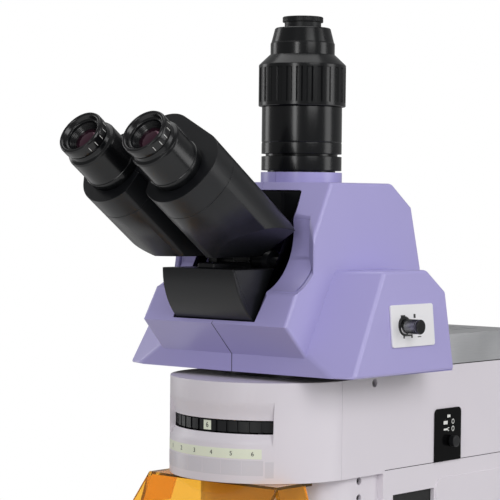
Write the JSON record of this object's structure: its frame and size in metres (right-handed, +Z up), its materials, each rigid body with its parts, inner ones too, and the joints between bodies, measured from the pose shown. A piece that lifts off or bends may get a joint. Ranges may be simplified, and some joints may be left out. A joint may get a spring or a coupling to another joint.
{
  "type": "fluorescence microscope",
  "caption": "Upright fluorescence microscope with tilting trinocular head, filter turret, amber shield, moving stage, condenser and coaxial focus.",
  "frame": {"origin": "on the table under the optical axis, at the plane of the feet", "axes": "+Z up along the optical axis, -Y towards the user and the eyepieces, +X to the user's right"},
  "size_m": [0.2417, 0.4286, 0.665],
  "materials": {
    "white_paint": "fine satin enamel on a casting",
    "dark_plate": "matt black enamel",
    "feet": "moulded",
    "black_plastic": "fine moulded grain",
    "brushed_metal": "brushed",
    "bare_aluminium": "turned",
    "lavender_shell": "satin moulded",
    "white_plate": "satin",
    "black_metal": "black anodised",
    "amber_acrylic": "polished amber acrylic",
    "lens_glass": "coated",
    "steel_screws": "blackened",
    "black_cover": "satin black paint on a casting",
    "gloss_black": "polished",
    "chrome_barrels": "satin chrome",
    "steel_shaft": "ground",
    "stage_black": "hard black anodised"
  },
  "bodies": {
    "stand": {"stand_base": "white_paint", "bottom_plate": "dark_plate", "rubber_feet": "feet", "column": "white_paint", "arm": "white_paint", "illuminator_body": "white_paint", "drum_cover": "white_paint", "control_panel": "black_plastic", "lamp_cover": "brushed_metal", "led_lamp": "bare_aluminium", "head_base": "dark_plate", "head_cover_left": "lavender_shell", "head_cover_right": "lavender_shell", "head_frame": "dark_plate", "switch_plate": "white_plate", "port_collar": "black_metal", "adapter_barrel": "black_metal", "amber_shield": "amber_acrylic", "field_lens": "lens_glass", "power_inlet": "black_plastic", "set_screws": "steel_screws"},
    "binocular_head": {"tilt_bracket": "black_cover"},
    "left_arm": {"left_eye_arm": "black_cover", "left_arm_cap": "black_cover", "left_eye_tube": "black_metal", "left_eye_lens": "lens_glass"},
    "right_arm": {"right_eye_arm": "black_cover", "right_arm_cap": "black_cover", "right_eye_tube": "black_metal", "right_eye_lens": "lens_glass"},
    "left_eye_ring": {"left_diopter_ring": "gloss_black"},
    "right_eye_ring": {"right_diopter_ring": "gloss_black"},
    "adapter_focus_ring": {"adapter_ring": "black_metal"},
    "adapter_throat": {"adapter_throat": "black_metal"},
    "dust_cap": {"dust_cap": "black_plastic"},
    "beam_switch": {"switch_slider": "brushed_metal", "beam_prism": "lens_glass"},
    "shutter": {"shutter_slider": "black_plastic"},
    "filter_turret": {"turret_wheel": "black_plastic", "filter_cubes": "black_metal"},
    "nosepiece": {"nosepiece": "black_metal", "objectives": "chrome_barrels"},
    "stage_carrier": {"stage_carrier": "black_metal", "stage_lower_plate": "black_metal"},
    "coarse_focus": {"coarse_knobs": "black_plastic", "focus_pinion": "steel_shaft"},
    "fine_focus": {"fine_knobs": "bare_aluminium"},
    "stage_top": {"stage_upper_plate": "stage_black"},
    "specimen_holder": {"specimen_holder": "brushed_metal"},
    "slide_clip": {"slide_clip": "brushed_metal"},
    "stage_x_knob": {"stage_x_knob": "black_plastic"},
    "stage_y_knob": {"stage_y_knob": "black_plastic"},
    "condenser": {"condenser_carrier": "black_metal", "condenser": "black_metal", "condenser_lens": "lens_glass"},
    "condenser_knob": {"condenser_knob": "black_plastic"},
    "aperture_lever": {"aperture_lever": "black_metal"},
    "field_ring": {"field_diaphragm_ring": "black_plastic"},
    "brightness_dial": {"brightness_dial": "black_plastic"},
    "power_rocker": {"power_rocker": "black_plastic"}
  },
  "joints": [
    {"name": "head_tilt", "type": "hinge", "parent": "stand", "child": "binocular_head", "pos_m": [0, -0.0658, 0.4764], "axis": [1, 0, 0], "range_deg": [0, 30]},
    {"name": "eye_spacing_right", "type": "hinge", "parent": "binocular_head", "child": "right_arm", "pos_m": [0, -0.20018, 0.58867], "axis": [0, -0.8192, 0.5736], "range_deg": [-12.13, 24.18]},
    {"name": "eye_spacing_left", "type": "hinge", "parent": "binocular_head", "child": "left_arm", "pos_m": [0, -0.20018, 0.58867], "axis": [0, -0.8192, 0.5736], "range_deg": [-24.18, 12.13]},
    {"name": "diopter_right", "type": "hinge", "parent": "right_arm", "child": "right_eye_ring", "pos_m": [0.0306, -0.2136, 0.5695], "axis": [0, -0.8192, 0.5736], "range_deg": [-120, 120]},
    {"name": "diopter_left", "type": "hinge", "parent": "left_arm", "child": "left_eye_ring", "pos_m": [-0.0306, -0.2136, 0.5695], "axis": [0, -0.8192, 0.5736], "range_deg": [-120, 120]},
    {"name": "adapter_focus", "type": "hinge", "parent": "stand", "child": "adapter_focus_ring", "pos_m": [0, 0, 0.6], "axis": [0, 0, 1], "range_deg": [-60, 60]},
    {"name": "throat_lift", "type": "slide", "parent": "stand", "child": "adapter_throat", "axis": [0, 0, 1], "range_m": [-0.0012, 0.0012]},
    {"name": "dust_cap_off", "type": "slide", "parent": "adapter_throat", "child": "dust_cap", "axis": [0, 0, 1], "range_m": [0, 0.012]},
    {"name": "beam_selector", "type": "slide", "parent": "stand", "child": "beam_switch", "axis": [1, 0, 0], "range_m": [0, 0.018]},
    {"name": "shutter_pull", "type": "slide", "parent": "stand", "child": "shutter", "axis": [1, 0, 0], "range_m": [0, 0.018]},
    {"name": "turret_turn", "type": "hinge", "parent": "stand", "child": "filter_turret", "pos_m": [0, -0.0402, 0.356], "axis": [0, 0, 1], "continuous": true},
    {"name": "nosepiece_turn", "type": "hinge", "parent": "stand", "child": "nosepiece", "pos_m": [0, 0, 0.33346], "axis": [0, 0.2588, -0.9659], "continuous": true},
    {"name": "focus", "type": "slide", "parent": "stand", "child": "stage_carrier", "axis": [0, 0, 1], "range_m": [-0.02, 0.006]},
    {"name": "coarse_focus_turn", "type": "hinge", "parent": "stand", "child": "coarse_focus", "pos_m": [0, 0.126, 0.1], "axis": [1, 0, 0], "range_deg": [-70, 200]},
    {"name": "fine_focus_turn", "type": "hinge", "parent": "stand", "child": "fine_focus", "pos_m": [0, 0.126, 0.1], "axis": [1, 0, 0], "continuous": true},
    {"name": "stage_y", "type": "slide", "parent": "stage_carrier", "child": "stage_top", "axis": [0, 1, 0], "range_m": [-0.027, 0.027]},
    {"name": "stage_x", "type": "slide", "parent": "stage_top", "child": "specimen_holder", "axis": [1, 0, 0], "range_m": [-0.039, 0.039]},
    {"name": "stage_y_turn", "type": "hinge", "parent": "stage_top", "child": "stage_y_knob", "pos_m": [0.08, 0.03, 0.1667], "axis": [0, 0, 1], "range_deg": [-230, 230]},
    {"name": "stage_x_turn", "type": "hinge", "parent": "stage_top", "child": "stage_x_knob", "pos_m": [0.08, 0.03, 0.1667], "axis": [0, 0, 1], "range_deg": [-330, 330]},
    {"name": "clip_open", "type": "hinge", "parent": "specimen_holder", "child": "slide_clip", "pos_m": [-0.0425, 0.02, 0.186], "axis": [0, 0, 1], "range_deg": [-32, 0], "stiffness_Nm_per_rad": 0.01},
    {"name": "condenser_focus", "type": "slide", "parent": "stage_carrier", "child": "condenser", "axis": [0, 0, 1], "range_m": [-0.022, 0]},
    {"name": "condenser_turn", "type": "hinge", "parent": "stage_carrier", "child": "condenser_knob", "pos_m": [-0.04, 0.09, 0.13], "axis": [1, 0, 0], "range_deg": [-260, 5]},
    {"name": "aperture_turn", "type": "hinge", "parent": "condenser", "child": "aperture_lever", "pos_m": [0, 0, 0.1365], "axis": [0, 0, 1], "range_deg": [-30, 30]},
    {"name": "field_ring_turn", "type": "hinge", "parent": "stand", "child": "field_ring", "pos_m": [0, 0, 0.062], "axis": [0, 0, 1], "range_deg": [-60, 60]},
    {"name": "brightness_turn", "type": "hinge", "parent": "stand", "child": "brightness_dial", "pos_m": [0.098, -0.06, 0.034], "axis": [1, 0, 0], "range_deg": [-140, 140]},
    {"name": "power_press", "type": "hinge", "parent": "stand", "child": "power_rocker", "pos_m": [-0.0925, 0.15, 0.034], "axis": [0, 0, 1], "range_deg": [-14, 0]}
  ],
  "couplings": [
    {"joint": "eye_spacing_left", "follows": "eye_spacing_right", "ratio": -1},
    {"joint": "throat_lift", "follows": "adapter_focus", "m_per_rad": 0.001123},
    {"joint": "coarse_focus_turn", "follows": "focus", "rad_per_m": -166.67},
    {"joint": "stage_y_turn", "follows": "stage_y", "rad_per_m": 142.86},
    {"joint": "stage_x_turn", "follows": "stage_x", "rad_per_m": 142.86},
    {"joint": "condenser_turn", "follows": "condenser_focus", "rad_per_m": 200}
  ]
}
